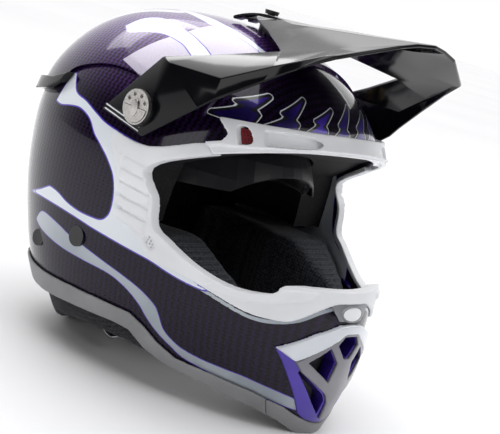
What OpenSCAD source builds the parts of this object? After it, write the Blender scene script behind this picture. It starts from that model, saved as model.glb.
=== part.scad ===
// Motocross helmet: a peaked full-face helmet with an open eyeport, built as the real one comes apart.
// Millimetres. Z is up, the wearer faces -Y, and the wearer's right is -X. The helmet stands on Z = 0.
// Lengths along the helmet are given as f, the distance forward of the head's middle: y = mid_f - f.

/* [Shell] */
// Thickness of the moulded outer shell
shell_t = 3.6; // [3:0.2:4.2]
// Thickness of the foam between the shell and the slip liner at the crown
foam_gap = 0.4; // [0.3:0.1:0.6]
// How far the rubber trim stands off the shell
trim_t = 2.6; // [2:0.2:3]

/* [Head] */
// Half the width of the head space
head_w = 78; // [76:1:79]
// Half the length of the head space
head_l = 95; // [93:1:96]
// Thickness of the comfort lining
comfort_t = 7; // [5:0.5:8]

/* [Visor] */
// Height of the visor's pivot over the table
pivot_z = 197; // [196:1:198]
// How far forward the visor's pivot is
pivot_f = 49; // [48:1:50]
// Wall thickness of the visor
visor_t = 3; // [2.5:0.1:3.2]
// Radius of the side screws' heads
screw_r = 12.5; // [11:0.5:13]

/* [Straps] */
// Width of the chin strap webbing
strap_w = 22; // [20:1:24]

/* [Hidden] */
$fn = 48;

mid_f = 28;        // f of the origin, the middle of the helmet's length
ring_n = 52;       // points round one ring of a free-form wall
head_n = 40;       // points round one ring of the head space
ring_step = 0.6;   // spacing of the rings, in stations
gap = 0.3;         // clearance between curved faces

// The shell's level sections: height, half width, front reach, rear reach, front and rear roundness.
stations = [
  [0, 90, 182, -62, 1.75, 2.1], [28, 104, 189, -84, 1.8, 2.15], [56, 114, 190, -100, 1.85, 2.2],
  [84, 120, 188, -112, 1.9, 2.2], [112, 124, 182, -121, 2.0, 2.2], [140, 125, 174, -127, 2.05, 2.2],
  [168, 123, 163, -130, 2.1, 2.2], [195, 116, 150, -126, 2.15, 2.2], [218, 104, 135, -115, 2.2, 2.15],
  [238, 86, 114, -98, 2.2, 2.1], [253, 62, 86, -74, 2.15, 2.1], [262, 33, 50, -42, 2.1, 2.0],
  [265, 0, 0, 0, 2.0, 2.0]];
last = len(stations) - 1;

function clamp01(v) = min(max(v, 0), 1);
function spline(a, b, c, d, t) =
  0.5 * (2 * b + (c - a) * t + (2 * a - 5 * b + 4 * c - d) * t * t + (3 * b - a - 3 * c + d) * t * t * t);
function flipped(s) = [s[0], -s[1], -s[2], -s[3], s[4], s[5]];
function knot(i) = i < 0 ? 2 * stations[0] - stations[1] : i > last ? flipped(stations[last - 1]) : stations[i];
function station(s) = let (i = min(floor(s), last - 1), t = s - i)
  [for (k = [0:5]) spline(knot(i - 1)[k], knot(i)[k], knot(i + 1)[k], knot(i + 2)[k], t)];

// One point of the wall that lies d outside the shell's face: a is the bearing from the front, s the station.
function wall_point(a, s, d) = let (
    st = station(s), up = pow(clamp01((st[0] - 150) / 115), 1.5), out = sqrt(1 - up * up),
    b = max(st[1] + d * out * (s < last ? 1 : 0), 0), near = min(1, b / 60), base = 10 * near,
    c = cos(a), n = c > 0 ? st[4] : st[5],
    reach = c > 0 ? max(st[2] + d * out - base, 0) : max(base - st[3] + d * out, 0),
    x = b * sign(sin(a)) * pow(abs(sin(a)), 2 / n),
    f = base + 8 * (1 - near) + (s < last ? reach : 0) * sign(c) * pow(abs(c), 2 / n))
  [x, mid_f - f, st[0] + d * up];

module loft(rings) {
  n = len(rings[0]);
  m = len(rings);
  low = m * n;
  mean = function (ring) [for (k = [0:2]) let (s = [for (p = ring) p[k]]) (max(s) + min(s)) / 2];
  polyhedron(
    points = concat([for (r = rings, p = r) p], [mean(rings[0]), mean(rings[m - 1])]),
    faces = concat(
      [for (i = [0:m - 2], j = [0:n - 1]) let (k = (j + 1) % n) [i * n + j, i * n + k, (i + 1) * n + k]],
      [for (i = [0:m - 2], j = [0:n - 1]) let (k = (j + 1) % n) [i * n + j, (i + 1) * n + k, (i + 1) * n + j]],
      [for (j = [0:n - 1]) [low, (j + 1) % n, j]],
      [for (j = [0:n - 1]) [low + 1, low - n + j, low - n + (j + 1) % n]]));
}

// The closed body of everything inside the wall at d. Its flat foot is dropped below the table.
module inside(d) {
  rings = [for (s = [0:ring_step:last - 0.3]) [for (j = [0:ring_n - 1]) wall_point(-360 * j / ring_n, s, d)]];
  foot = [for (p = rings[0]) [p[0], p[1], -12]];
  loft(concat([foot], rings));
}
module skin(d_out, d_in) {
  difference() {
    inside(d_out);
    inside(d_in);
  }
}
// A side-view outline, in [f, z] points, carried right across the helmet or over one side of it.
module side_cut(pts, x0 = -160, x1 = 160) {
  translate([x0, mid_f, 0]) rotate([90, 0, 90]) linear_extrude(x1 - x0) polygon([for (p = pts) [-p[0], p[1]]]);
}
// A front-view outline, in [x, z] points, from f0 to f1.
module front_cut(pts, f0, f1) {
  translate([0, mid_f - f0, 0]) rotate([90, 0, 0]) linear_extrude(f1 - f0) polygon(pts);
}
// Free-form work is joined as one mesh, and true bores are cut from it afterwards.
module meshed() {
  resize([0, 0, 0]) children();
}
module both_sides() {
  children();
  mirror([1, 0, 0]) children();
}
// A rod of radius r along X, from x0 to x1, at f and z.
module x_rod(r, x0, x1, f, z, fn = 48) {
  translate([x0, mid_f - f, z]) rotate([0, 90, 0]) cylinder(r = r, h = x1 - x0, $fn = fn);
}
function both(pts) = concat(pts, [for (i = [len(pts) - 1:-1:0]) [-pts[i][0], pts[i][1]]]);

// The lower edge of the shell and the top of the grey trim along it, in [f, z].
base_line = [[-150, 36], [-60, 36], [-20, 37], [18, 40.5], [60, 43.5], [74, 42.5], [86, 33], [102, 27],
  [128, 23], [159, 16.5], [173, 10], [180, 2], [210, 2]];
rim_line = [[210, 9], [186, 9], [175, 20], [159, 26], [135, 30], [110, 32], [96, 39], [86, 47], [74, 53], [48, 53],
  [17, 52], [-17, 50], [-150, 50]];
// The eyeport: the hole in the shell, and what the trim leaves of it.
port = [[62, 161], [93, 181], [118, 192], [137, 200], [149, 205], [210, 205], [210, 104], [170, 105],
  [160, 97], [138, 94], [113, 100], [90, 111], [78, 119], [73, 140]];
sight = [[66, 159], [97, 178], [122, 189], [141, 197], [153, 201], [210, 201], [210, 110], [168, 110],
  [160, 101], [138, 98], [115, 104], [93, 115], [82, 122], [77, 140]];
trim_line = [[24, 176], [61, 173], [97, 188], [103.5, 181.2], [210, 181.2], [210, 103], [184, 102],
  [180, 95], [172, 85], [162, 83], [148, 84], [122, 92], [104, 96], [85, 98], [72, 111], [57, 117],
  [57, 124], [54, 132], [49, 140], [44, 149], [34, 162]];
brow_line = [[97.4, 188.3], [106, 192], [107, 198], [96, 207], [120, 210], [140, 213], [150, 215],
  [210, 215], [210, 201], [153, 201], [141, 197], [122, 189], [104, 181.3]];
chin_vent_half = [[0, 88], [12, 87], [31, 79], [53, 64], [47, 56], [22, 17], [10, 8.5], [0, 8.5]];
chin_frame_half = [[0, 87], [11.5, 86], [30, 78], [51, 63.5], [41, 57.5], [15, 36], [7, 32], [4, 17], [0, 16]];
chin_window_half = [[9, 59], [18, 70.5], [32, 58], [12, 47]];
chin_window_top = [[12, 73], [7, 79.5], [-7, 79.5], [-12, 73], [-3.5, 63], [3.5, 63]];
chin_recess_half = [[5, 33], [14, 36], [33, 50], [16, 25], [5, 17.5]];
brow_vent = [[109, 204], [115, 204.5], [121, 196.5], [115, 193]];
brow_scoop = [[123, 206], [138, 208.5], [144, 201.5], [128, 196.8]];
rear_vent = [[24, 108], [60, 112], [60, 128], [24, 132]];
plug_side = [19, 91, 121];     // f, z and the shell's half width there
plug_rear = [-28, 73, 113.4];
plug_r = [7.6, 6.4];

module shell() {
  color("#1b1226")
  difference() {
    meshed() difference() {
      skin(0, -shell_t);
      side_cut(concat(base_line, [[210, -40], [-150, -40]]));
      side_cut(port);
      front_cut(both([for (p = chin_vent_half) [p[0] * 0.93, 47 + (p[1] - 47) * 0.9]]), 120, 230);
      both_sides() front_cut(rear_vent, -180, -60);
    }
    translate([0, mid_f - post_f, 240]) cylinder(r = 6.9, h = 60);
    for (s = [-1, 1]) {
      x_rod(8.5, s > 0 ? 60 : -140, s > 0 ? 140 : -60, pivot_f, pivot_z);
      x_rod(plug_r[0] + 0.2, s > 0 ? 60 : -140, s > 0 ? 140 : -60, plug_side[0], plug_side[1]);
      x_rod(plug_r[1] + 0.2, s > 0 ? 60 : -140, s > 0 ? 140 : -60, plug_rear[0], plug_rear[1]);
    }
  }
}

module base_band(f0, f1) {
  drop = [for (p = base_line) [p[0], p[1] - 2.8]];
  slot = [[f0, -5], [f1, -5], [f1, 60], [f0, 60]];
  meshed() intersection() {
    union() {
      intersection() {
        skin(trim_t, gap);
        side_cut(concat(drop, rim_line));
      }
      intersection() {
        skin(trim_t, -shell_t - 2);
        side_cut(concat(drop, [for (i = [len(base_line) - 1:-1:0]) base_line[i] - [0, 0.2]]));
      }
    }
    side_cut(slot);
  }
}
module base_trim() {
  color("#a9acb2") base_band(-150, 166.8);
}
// The trim is cut level under the chin, where the helmet stands on the table.
module chin_base_trim() {
  color("#b4b7bc") difference() {
    base_band(167, 210);
    translate([-200, -400, -60]) cube([400, 800, 60]);
  }
}

// The white rubber moulding down both sides of the eyeport and over the chin bar, ribbed at the cheeks.
module eyeport_trim() {
  color("#eceef2")
  meshed() difference() {
    union() {
      intersection() {
        skin(trim_t, gap);
        side_cut(trim_line);
      }
      intersection() {
        skin(trim_t + 1.2, trim_t - 0.4);
        both_sides() for (k = [0:4])
          side_cut([for (p = [[50, 118], [79, 116], [79, 121], [50, 123]]) p + [2 - 1.5 * k, 9 * k]], 90, 140);
      }
      intersection() {
        skin(trim_t + 2.4, trim_t - 0.4);
        side_cut([[134, 97.5], [160, 100], [168, 108], [210, 108], [210, 112], [167, 112], [158, 104], [134, 101.5]]);
      }
      intersection() {
        skin(trim_t, -shell_t - 2);
        side_cut([for (p = port) [p[0] < 200 ? 110 + (p[0] - 110) * 0.985 : 210, 150 + (p[1] - 150) * 0.985]]);
      }
    }
    side_cut(sight);
    side_cut([[103.6, 181], [122, 188.8], [153, 200.8], [210, 200.8], [210, 230], [97.6, 230], [97.6, 187.9]]);
    side_cut([[-40, 120], [30, 120], [30, 200], [-40, 200]]);
  }
}

// The brow moulding, with a scooped vent over each temple.
module brow_housing() {
  color("#d9dbe0")
  meshed() difference() {
    union() {
      intersection() {
        skin(6, gap);
        side_cut([for (p = brow_line) p + [0, p[1] > 201.5 ? 0 : 0.6]]);
      }
      intersection() {
        skin(6, -shell_t - 2);
        side_cut([[118, 189.2], [122, 190.8], [141, 198.8], [154, 202.4], [210, 202.4], [210, 204], [151, 204],
          [135, 198.2], [116.5, 190.2]]);
      }
    }
    side_cut(brow_vent);
    intersection() {
      skin(8, 3.4);
      side_cut(brow_scoop);
    }
  }
}
module brow_vent_mesh() {
  color("#5a1418")
  meshed() intersection() {
    skin(3.2, 1.8);
    side_cut([for (p = brow_vent) [115 + (p[0] - 115) * 0.93, 199 + (p[1] - 199) * 0.93]]);
  }
}

// The mouth vent: a body set in the chin bar, a Y-shaped frame over it and a filter behind.
module chin_windows() {
  both_sides() front_cut(chin_window_half, 100, 240);
  front_cut(chin_window_top, 100, 240);
}
module chin_vent_body() {
  color("#3a2f9a")
  meshed() difference() {
    union() {
      intersection() {
        skin(1.6, gap);
        front_cut(both(chin_vent_half), 120, 230);
        side_cut(concat([for (p = rim_line) p + [0, p[0] > 160 ? 0.4 : 0]], [[-150, 120], [210, 120]]));
      }
      intersection() {
        skin(0.8, -9);
        front_cut(both([for (p = chin_vent_half) [p[0] * 0.9, 47 + (p[1] - 47) * 0.87]]), 120, 230);
      }
    }
    chin_windows();
    both_sides() front_cut(chin_recess_half, 100, 240);
  }
}
module chin_vent_frame() {
  color("#8f9298")
  meshed() difference() {
    intersection() {
      skin(3.6, 1.9);
      front_cut(both(chin_frame_half), 120, 230);
    }
    chin_windows();
  }
}
module chin_vent_filter() {
  color("#16161a")
  meshed() intersection() {
    skin(-9.3, -10.8);
    front_cut(both([[0, 78], [28, 70], [38, 57], [22, 24], [0, 20]]), 120, 230);
  }
}
module badge_plate() {
  color("#d4d6da")
  meshed() intersection() {
    skin(1.4, gap);
    translate([0, mid_f - 120, 95]) rotate([90, 0, 0]) linear_extrude(110) scale([1.75, 1]) circle(r = 5, $fn = 36);
  }
}

// The duck tail behind the crown, and the exhaust grilles under it.
module rear_spoiler() {
  color("#101014")
  meshed() intersection() {
    skin(6.5, gap);
    side_cut([[-40, 200], [-60, 191], [-150, 176], [-150, 165], [-60, 182], [-44, 192]]);
  }
}
module rear_vent() {
  inner = [for (p = rear_vent) [42 + (p[0] - 42) * 0.95, 120 + (p[1] - 120) * 0.92]];
  meshed() difference() {
    union() {
      intersection() {
        skin(1.8, gap);
        front_cut([for (p = rear_vent) [42 + (p[0] - 42) * 1.15, 120 + (p[1] - 120) * 1.3]], -180, -60);
      }
      intersection() {
        skin(0.8, -shell_t);
        front_cut(inner, -180, -60);
      }
    }
    for (k = [0:2]) front_cut([[27, 112.5 + 5.5 * k], [57, 113.3 + 5.5 * k], [57, 116.3 + 5.5 * k], [27, 115.5 + 5.5 * k]], -180, -60);
  }
}
module rear_vent_right() {
  color("#131318") mirror([1, 0, 0]) rear_vent();
}
module rear_vent_left() {
  color("#131318") rear_vent();
}
module side_plugs() {
  color("#0c0c10") both_sides()
    x_rod(plug_r[0], plug_side[2] - 3.2, plug_side[2] + 1.4, plug_side[0], plug_side[1]);
}
module rear_plugs() {
  color("#0c0c10") both_sides()
    x_rod(plug_r[1], plug_rear[2] - 3.2, plug_rear[2] + 1.4, plug_rear[0], plug_rear[1]);
}

// The head space: an egg over the brow line, and a straight tube under it.
head_f = 10;
head_z = 125;
module head(g) {
  steps = 9;
  tube = [for (z = [-20, head_z]) [for (j = [0:head_n - 1]) let (a = -360 * j / head_n)
    [(head_w + g) * sin(a), mid_f - head_f - (head_l + g) * cos(a), z]]];
  egg = [for (i = [1:steps - 1]) let (t = 90 * i / steps) [for (j = [0:head_n - 1]) let (a = -360 * j / head_n)
    [(head_w + g) * cos(t) * sin(a), mid_f - head_f - (head_l + g) * cos(t) * cos(a), head_z + (head_l + g) * sin(t)]]];
  loft(concat(tube, egg));
}
slip_in = comfort_t + 0.4;
slip_out = slip_in + 1.2;
foam_in = slip_out + 2.4;
anchors = [[-62, 35], [62, 35], [-138, 35], [138, 35]];
// A short rod that stands on the head space's face at a bearing and a height angle.
module head_rod(r, bearing, lift, g0, g1) {
  for (k = [0]) {
    dir = [sin(bearing) * cos(lift), -cos(bearing) * cos(lift), sin(lift)];
    foot = [(head_w + g0) * dir[0], mid_f - head_f + (head_l + g0) * dir[1], head_z + (head_l + g0) * dir[2]];
    translate(foot) rotate([0, 90 - lift, bearing - 90]) cylinder(r = r, h = g1 - g0, $fn = 32);
  }
}
module impact_liner() {
  color("#3b3c40")
  meshed() difference() {
    inside(-shell_t - foam_gap);
    head(foam_in);
    side_cut([[-150, -40], [210, -40], [210, 208], [149, 208], [136, 203], [117, 195], [92, 184], [58, 163], [58, 118],
      [-34, 114], [-40, 62], [-150, 58]]);
    for (a = anchors) head_rod(17, a[0], a[1], foam_in - 6, foam_in + 3.5);
    for (x = [-30, 30]) translate([x - 5, -120, 214]) cube([10, 250, 14]);
    x_rod(12, -140, 140, pivot_f, pivot_z);
    translate([0, mid_f - post_f, 225]) cylinder(r = 9.5, h = 60);
  }
}
module chin_liner() {
  color("#44454a")
  meshed() difference() {
    intersection() {
      skin(-11.3, -24);
      side_cut([[134, 28], [160, 24], [210, 24], [210, 92], [150, 92], [134, 84]]);
    }
    chin_windows();
  }
}
module slip_liner() {
  color("#232327")
  meshed() difference() {
    intersection() {
      difference() {
        head(slip_out);
        head(slip_in);
      }
      side_cut([[-120, 128], [88, 152], [104, 172], [104, 260], [-120, 260]]);
    }
    for (a = [0:60:300]) translate([0, mid_f - head_f, 0]) rotate([0, 0, a]) translate([34, -8, 150]) cube([26, 16, 100]);
  }
}
module slip_anchors() {
  color("#c23a2a") for (a = anchors) {
    head_rod(6, a[0], a[1], slip_out + 0.05, slip_out + 4.4);
  }
}
module comfort_liner() {
  color("#2a2a2e")
  meshed() difference() {
    intersection() {
      difference() {
        head(comfort_t);
        head(0);
      }
      side_cut([[-120, 132], [80, 150], [100, 170], [100, 260], [-120, 260]]);
    }
    for (a = [30:60:330]) translate([0, mid_f - head_f, 0]) rotate([0, 0, a]) translate([30, -7, 150]) cube([30, 14, 100]);
  }
}

cheek_line = [[-32, 50], [66, 54], [84, 46], [100, 38], [131, 34], [131, 90], [112, 98], [90, 108], [76, 114],
  [54, 112], [-28, 108]];
// The cheek pad, its snap-in backing plate and the sockets that hold it, on the side where x is positive.
module cheek_pad() {
  meshed() difference() {
    intersection() {
      inside(-11);
      side_cut(cheek_line, 52, 160);
    }
    head(-14);
  }
}
// The plate is C-shaped, to pass the strap's anchor.
module cheek_plate() {
  meshed() intersection() {
    skin(-9, -10.7);
    side_cut([[-24, 56], [5, 57], [5, 98], [33, 98], [33, 57], [64, 58], [100, 44], [122, 40], [122, 84],
      [76, 104], [-22, 102]], 0, 160);
  }
  for (p = snaps) x_rod(2.4, p[2] - 1.6, p[2] + 3, p[0], p[1], 32);
}
snaps = [[-12, 80, 108.9], [44, 88, 109.1], [64, 74, 102.2]]; // f, z and the plate's half width there
module cheek_sockets() {
  color("#1d1d20") both_sides() for (p = snaps) difference() {
    x_rod(4, p[2] + 1.5, p[2] + 4.1, p[0], p[1], 32);
    x_rod(2.5, p[2] - 1, p[2] + 5, p[0], p[1], 32);
  }
}
module release_tab() {
  translate([66, mid_f - 54, 26]) cube([1.8, 18, 26.8]);
}
module cheek_pad_left() {
  color("#3a3a3f") cheek_pad();
}
module cheek_pad_right() {
  color("#3a3a3f") mirror([1, 0, 0]) cheek_pad();
}
module cheek_plate_left() {
  color("#222226") cheek_plate();
}
module cheek_plate_right() {
  color("#222226") mirror([1, 0, 0]) cheek_plate();
}
module release_tab_left() {
  color("#c01f26") release_tab();
}
module release_tab_right() {
  color("#c01f26") mirror([1, 0, 0]) release_tab();
}
module neck_roll() {
  color("#3c3b40")
  meshed() difference() {
    skin(-7, -27);
    side_cut([[-150, 56], [-42, 56], [-38, 43], [66, 44], [80, 40], [94, 33], [220, 33], [220, 300], [-150, 300]]);
    side_cut([[94, -40], [220, -40], [220, 60], [94, 60]]);
    side_cut([[-150, 0], [-40, 0], [-14, 15], [20, 23], [60, 25], [96, 22], [220, 22], [220, -40], [-150, -40]]);
  }
}

/* Visor: guide lines for the left side, in [x, f, z]. */
rail_top = [[114, 48, 234], [98, 77, 245], [75, 117, 260], [59, 145, 271], [36, 181, 286]];
rail_out = [[119, 62, 232], [113, 104, 232], [98, 133, 251], [81, 160, 268], [36, 181, 285]];
rail_low = [[121, 60, 205], [114, 105, 219], [101, 131, 240], [81, 167, 270], [36, 181, 284]];
deck_mid = [[0, 62, 279], [0, 80, 280.5], [0, 104, 283], [0, 150, 288], [0, 184, 292]];
deck_out = [[14, 66, 277.5], [26, 80, 277], [30, 104, 280], [30, 150, 286], [18, 181, 290]];
module slab(pts) {
  hull() for (p = pts) translate([p[0], mid_f - p[1], p[2]]) cube(visor_t, center = true);
}
module visor_half() {
  for (i = [0:3]) {
    slab([rail_top[i], rail_top[i + 1], rail_out[i], rail_out[i + 1]]);
    slab([rail_out[i], rail_out[i + 1], rail_low[i], rail_low[i + 1]]);
    slab([deck_mid[i], deck_mid[i + 1], deck_out[i], deck_out[i + 1]]);
  }
  slab([[8, 14, 271.5], [14, 62, 278.5], [18, 40, 274.5]]);
  slab([[14, 62, 278.5], [18, 40, 274.5], [38, 70, 270]]);
  slab([[14, 62, 278.5], deck_out[1], [38, 70, 270], [58, 96, 265]]);
  slab([deck_out[1], deck_out[2], rail_top[2], [58, 96, 265]]);
  slab([deck_out[2], deck_out[3], rail_top[2], rail_top[3]]);
  slab([deck_out[3], deck_out[4], rail_top[3], rail_top[4]]);
  slab([[123, 13, 186], [123, 57, 178], [122, 58, 210], [119, 62, 232], [114, 48, 234]]);
  slab([[123, 57, 178], [121, 60, 205], [115, 98, 212], [114, 105, 219], [119, 62, 232]]);
}
tab_r = 83;
module visor_tab() {
  translate([-14, mid_f - pivot_f, pivot_z]) rotate([90, 0, 90]) linear_extrude(28) difference() {
    circle(r = tab_r, $fn = 96);
    circle(r = tab_r - visor_t, $fn = 96);
    translate([-200, -200]) square([400, 260]);
    rotate(61.5) translate([-200, -200]) square([400, 200]);
    rotate(-75) translate([-200, -200]) square([400, 200]);
  }
}
module visor() {
  color("#0e0e12")
  difference() {
    meshed() difference() {
      union() {
        both_sides() visor_half();
        visor_tab();
        both_sides() x_rod(screw_r + 1, 120.6, 124.6, pivot_f, pivot_z);
      }
      translate([-3.4, mid_f - 41.5, 262]) cube([6.8, 29.2, 30]);
    }
    for (s = [-1, 1]) {
      x_rod(5.06, s > 0 ? 100 : -140, s > 0 ? 140 : -100, pivot_f, pivot_z);
      x_rod(8.8, s > 0 ? 100 : -120.6, s > 0 ? 120.6 : -100, pivot_f, pivot_z);
    }
  }
}

// Side pivots: threaded inserts in the shell, shoulder screws with half-moon grips that fold out.
face_x = 124.8;
module visor_insert() {
  difference() {
    union() {
      x_rod(8.2, 97, 120.2, pivot_f, pivot_z);
      x_rod(11, 96, 99, pivot_f, pivot_z);
    }
    x_rod(3.2, 90, 130, pivot_f, pivot_z);
  }
}
module visor_insert_left() {
  color("#c3a24a") visor_insert();
}
module visor_insert_right() {
  color("#c3a24a") mirror([1, 0, 0]) visor_insert();
}
module visor_screw() {
  difference() {
    union() {
      x_rod(3.15, 104, 121, pivot_f, pivot_z);
      x_rod(5, 120.4, face_x + 0.5, pivot_f, pivot_z);
      x_rod(screw_r, face_x, face_x + 3.4, pivot_f, pivot_z);
    }
    // The lower half of the head is let in for the grip, and the upper half has four drilled pockets.
    intersection() {
      x_rod(screw_r - 1.2, face_x + 1.4, face_x + 6, pivot_f, pivot_z);
      translate([face_x, mid_f - pivot_f - 20, pivot_z - 20]) cube([10, 40, 20]);
    }
    for (a = [-60, -22, 22, 60])
      x_rod(1.5, face_x + 1.8, face_x + 6, pivot_f + 9 * sin(a), pivot_z + 9 * cos(a), 24);
  }
}
module screw_flap() {
  intersection() {
    x_rod(screw_r - 1.5, face_x + 1.7, face_x + 4, pivot_f, pivot_z);
    translate([face_x, mid_f - pivot_f - 20, pivot_z - 20.3]) cube([10, 40, 20]);
  }
}
module visor_screw_left() {
  color("#b9b7b2") visor_screw();
}
module visor_screw_right() {
  color("#b9b7b2") mirror([1, 0, 0]) visor_screw();
}
module screw_flap_left() {
  color("#a8a6a0") screw_flap();
}
module screw_flap_right() {
  color("#a8a6a0") mirror([1, 0, 0]) screw_flap();
}

// The centre post stands in the crown, and its screw runs in the slot of the visor's tab.
post_f = 38;
post_top = 274;
module visor_post() {
  color("#1a1a1e") difference() {
    union() {
      translate([0, mid_f - post_f, 250]) cylinder(r = 6.6, h = post_top - 250);
      translate([0, mid_f - post_f, 250]) cylinder(r = 9, h = 3);
    }
    translate([0, mid_f - post_f, 256]) cylinder(r = 2.1, h = 30);
  }
}
module center_screw() {
  color("#17171b") difference() {
    union() {
      translate([0, mid_f - post_f, 260]) cylinder(r = 2.05, h = 18);
      translate([0, mid_f - post_f, 281.4]) cylinder(r = 5.6, h = 1.9);
      translate([0, mid_f - post_f, post_top + 0.1]) cylinder(r = 2.9, h = 281.6 - post_top);
    }
    translate([-4, mid_f - post_f - 0.7, 282.4]) cube([8, 1.4, 3]);
  }
}
module center_washer() {
  color("#2a2a2e") translate([0, mid_f - post_f, 280.1]) difference() {
    cylinder(r = 5.2, h = 1.2);
    translate([0, 0, -1]) cylinder(r = 3, h = 4);
  }
}

// The chin strap hangs open. Its webbing is riveted to the shell behind each cheek pad, comes out under
// the pad, and carries a pair of D-rings on the right.
module strap_anchor() {
  x_rod(2.5, 111.6, plug_side[2] - 3.4, plug_side[0], plug_side[1], 32);
  x_rod(5, 111.6, 112.7, plug_side[0], plug_side[1], 32);
  x_rod(5.5, 115.2, 117, plug_side[0], plug_side[1], 32);
}
module strap_anchor_left() {
  color("#8d8d90") strap_anchor();
}
module strap_anchor_right() {
  color("#8d8d90") mirror([1, 0, 0]) strap_anchor();
}
// A band of webbing, or a pad round it, along [x, z] points.
module band(pts, w, t) {
  n = len(pts) - 1;
  side = [for (i = [0:n]) let (d = pts[min(i + 1, n)] - pts[max(i - 1, 0)]) [-d[1], d[0]] / norm(d) * t / 2];
  translate([0, mid_f - plug_side[0] + w / 2, 0]) rotate([90, 0, 0]) linear_extrude(w)
    polygon(concat([for (i = [0:n]) pts[i] + side[i]], [for (i = [n:-1:0]) pts[i] - side[i]]));
}
hidden_run = [[113.9, 97], [113.9, 86], [112, 75], [108.6, 60], [105.5, 51], [101, 47], [94, 46.3], [72, 46]];
long_run = [[62, 43.5], [57, 37], [52, 28], [44.5, 18], [33, 10], [18, 5], [0, 3.2], [-22, 3]];
short_run = [[62, 43.5], [57.5, 38], [56, 32], [56, 26.8]];
ring_at = [-56, 22];
module webbing(run) {
  difference() {
    band(concat(hidden_run, run), strap_w, 2);
    x_rod(2.6, 110, 120, plug_side[0], plug_side[1], 32);
  }
}
module chin_strap_left() {
  color("#1c1c1f") webbing(long_run);
}
module chin_strap_right() {
  color("#1c1c1f") {
    mirror([1, 0, 0]) webbing(short_run);
    translate([ring_at[0], mid_f - plug_side[0], ring_at[1]]) rotate([90, 0, 0]) difference() {
      cylinder(r = 5.4, h = strap_w - 3, center = true);
      cylinder(r = 4.1, h = strap_w, center = true);
    }
  }
}
module strap_sleeve() {
  run = [for (i = [1:4]) long_run[i]];
  color("#2c2c30") difference() {
    band(run, strap_w + 6, 6);
    band(long_run, strap_w + 0.6, 2.5);
  }
}
// A D-ring: a straight bar across, and a half round under it.
module d_ring(dx) {
  translate([ring_at[0] + dx, mid_f - plug_side[0], ring_at[1]]) rotate([0, 90, 0]) {
    intersection() {
      rotate_extrude() translate([13, 0]) circle(r = 1.6, $fn = 20);
      translate([0, -20, -5]) cube([40, 40, 10]);
    }
    rotate([90, 0, 0]) cylinder(r = 1.6, h = 29, center = true, $fn = 24);
  }
}
module d_ring_front() {
  color("#c9cacd") d_ring(2);
}
module d_ring_back() {
  color("#c9cacd") d_ring(-2);
}
module strap_snap() {
  color("#c3303a") translate([-12, mid_f - plug_side[0], 4.2]) cylinder(r = 6, h = 2.2);
}

shell();
base_trim();
chin_base_trim();
eyeport_trim();
brow_housing();
brow_vent_mesh();
chin_vent_body();
chin_vent_frame();
chin_vent_filter();
badge_plate();
rear_spoiler();
rear_vent_left();
rear_vent_right();
side_plugs();
rear_plugs();
impact_liner();
chin_liner();
slip_liner();
slip_anchors();
comfort_liner();
cheek_pad_left();
cheek_pad_right();
cheek_plate_left();
cheek_plate_right();
cheek_sockets();
release_tab_left();
release_tab_right();
neck_roll();
visor();
visor_insert_left();
visor_insert_right();
visor_post();
visor_screw_left();
visor_screw_right();
screw_flap_left();
screw_flap_right();
center_screw();
center_washer();
strap_anchor_left();
strap_anchor_right();
chin_strap_left();
chin_strap_right();
strap_sleeve();
d_ring_front();
d_ring_back();
strap_snap();
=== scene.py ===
import math

import bmesh
import bpy
import numpy as np
from mathutils import Matrix, Vector


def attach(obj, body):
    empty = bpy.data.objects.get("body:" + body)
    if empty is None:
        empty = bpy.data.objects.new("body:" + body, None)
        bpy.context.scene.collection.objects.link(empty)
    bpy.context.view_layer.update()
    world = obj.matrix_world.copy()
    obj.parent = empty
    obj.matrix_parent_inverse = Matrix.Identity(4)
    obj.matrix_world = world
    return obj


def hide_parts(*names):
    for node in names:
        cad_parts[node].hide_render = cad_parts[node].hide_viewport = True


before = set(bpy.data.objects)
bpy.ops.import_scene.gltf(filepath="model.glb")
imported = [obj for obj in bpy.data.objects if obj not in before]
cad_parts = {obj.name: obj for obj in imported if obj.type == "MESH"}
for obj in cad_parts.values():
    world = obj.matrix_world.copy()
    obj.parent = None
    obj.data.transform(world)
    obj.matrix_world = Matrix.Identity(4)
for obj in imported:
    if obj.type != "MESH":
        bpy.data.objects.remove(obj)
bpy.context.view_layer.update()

# Lengths below are millimetres; points are (x, f, z), f being the distance forward of the head's middle.
MM = 0.001
MID_F = 28.0
FINE_RING, FINE_STEP = 460, 0.07      # points round a ring and ring spacing of a face that shows
ROUGH_RING, ROUGH_STEP = 180, 0.2     # the same for a face that does not
SHELL_T = 3.6
TRIM_T = 2.6
PIVOT_F, PIVOT_Z = 49.0, 197.0
LAP = 0.3                             # how far inside the shell's face a moulding laid on it starts
CROWN_FROM, CROWN_R = 150, 115        # height where the crown's curve begins, and its radius
CARBON_PITCH, CARBON_ROW = 4.4, 2.6   # spacing of the carbon's bars, and height of one row of them
VISOR_T = 2.6
TAB_R = 83                            # radius of the visor's rear tab about the side screws
PAD_CELL, PAD_FRAMES = 5.0, 20        # mesh size of a pad, and frames its cloth runs for

# The shell's level sections: height, half width, front reach, rear reach, front and rear roundness.
STATIONS = np.array([
    [0, 90, 182, -62, 1.75, 2.1], [28, 104, 189, -84, 1.8, 2.15], [56, 114, 190, -100, 1.85, 2.2],
    [84, 120, 188, -112, 1.9, 2.2], [112, 124, 182, -121, 2.0, 2.2], [140, 125, 174, -127, 2.05, 2.2],
    [168, 123, 163, -130, 2.1, 2.2], [195, 116, 150, -126, 2.15, 2.2], [218, 104, 135, -115, 2.2, 2.15],
    [238, 86, 114, -98, 2.2, 2.1], [253, 62, 86, -74, 2.15, 2.1], [262, 33, 50, -42, 2.1, 2.0],
    [265, 0, 0, 0, 2.0, 2.0]])
LAST = len(STATIONS) - 1

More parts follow.
